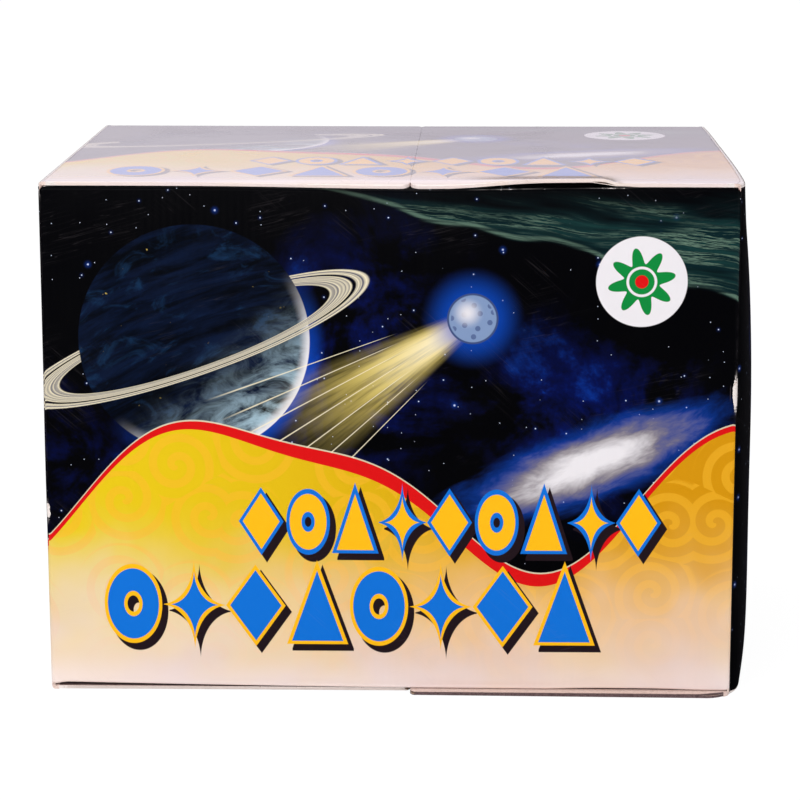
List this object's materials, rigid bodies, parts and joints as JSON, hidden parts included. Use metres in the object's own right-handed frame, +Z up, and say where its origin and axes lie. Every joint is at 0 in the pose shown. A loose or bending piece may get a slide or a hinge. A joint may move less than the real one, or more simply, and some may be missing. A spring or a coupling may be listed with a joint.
{
  "type": "printed corrugated carton",
  "caption": "Closed corrugated carton with swollen printed walls, outer flaps that swing out and inner flaps that swing in at both ends.",
  "frame": {"origin": "middle of the base, on the floor", "axes": "+X right along the front, +Y from the front to the back, +Z up"},
  "size_m": [0.325, 0.2289, 0.226],
  "materials": {
    "printed_board": "gloss printed liner",
    "plain_board": "matt brown liner"
  },
  "bodies": {
    "sleeve": {"front_wall": "printed_board", "back_wall": "printed_board", "left_wall": "printed_board", "right_wall": "printed_board", "glue_lap": "plain_board"},
    "top_outer_flap_left": {"top_outer_flap_left": "printed_board"},
    "top_outer_flap_right": {"top_outer_flap_right": "printed_board"},
    "top_inner_flap_front": {"top_inner_flap_front": "plain_board"},
    "top_inner_flap_back": {"top_inner_flap_back": "plain_board"},
    "bottom_outer_flap_left": {"bottom_outer_flap_left": "printed_board"},
    "bottom_outer_flap_right": {"bottom_outer_flap_right": "printed_board"},
    "bottom_inner_flap_front": {"bottom_inner_flap_front": "plain_board"},
    "bottom_inner_flap_back": {"bottom_inner_flap_back": "plain_board"}
  },
  "joints": [
    {"name": "top_outer_flap_left_fold", "type": "hinge", "parent": "sleeve", "child": "top_outer_flap_left", "pos_m": [-0.15, 0, 0.226], "axis": [0, -1, 0], "range_deg": [0, 210]},
    {"name": "top_outer_flap_right_fold", "type": "hinge", "parent": "sleeve", "child": "top_outer_flap_right", "pos_m": [0.15, 0, 0.226], "axis": [0, 1, 0], "range_deg": [0, 210]},
    {"name": "top_inner_flap_front_fold", "type": "hinge", "parent": "sleeve", "child": "top_inner_flap_front", "pos_m": [0, -0.1069, 0.2225], "axis": [-1, 0, 0], "range_deg": [0, 75]},
    {"name": "top_inner_flap_back_fold", "type": "hinge", "parent": "sleeve", "child": "top_inner_flap_back", "pos_m": [0, 0.1069, 0.2225], "axis": [1, 0, 0], "range_deg": [0, 75]},
    {"name": "bottom_outer_flap_left_fold", "type": "hinge", "parent": "sleeve", "child": "bottom_outer_flap_left", "pos_m": [-0.15, 0, 0], "axis": [0, 1, 0], "range_deg": [0, 210]},
    {"name": "bottom_outer_flap_right_fold", "type": "hinge", "parent": "sleeve", "child": "bottom_outer_flap_right", "pos_m": [0.15, 0, 0], "axis": [0, -1, 0], "range_deg": [0, 210]},
    {"name": "bottom_inner_flap_front_fold", "type": "hinge", "parent": "sleeve", "child": "bottom_inner_flap_front", "pos_m": [0, -0.1069, 0.0035], "axis": [1, 0, 0], "range_deg": [0, 75]},
    {"name": "bottom_inner_flap_back_fold", "type": "hinge", "parent": "sleeve", "child": "bottom_inner_flap_back", "pos_m": [0, 0.1069, 0.0035], "axis": [-1, 0, 0], "range_deg": [0, 75]}
  ]
}
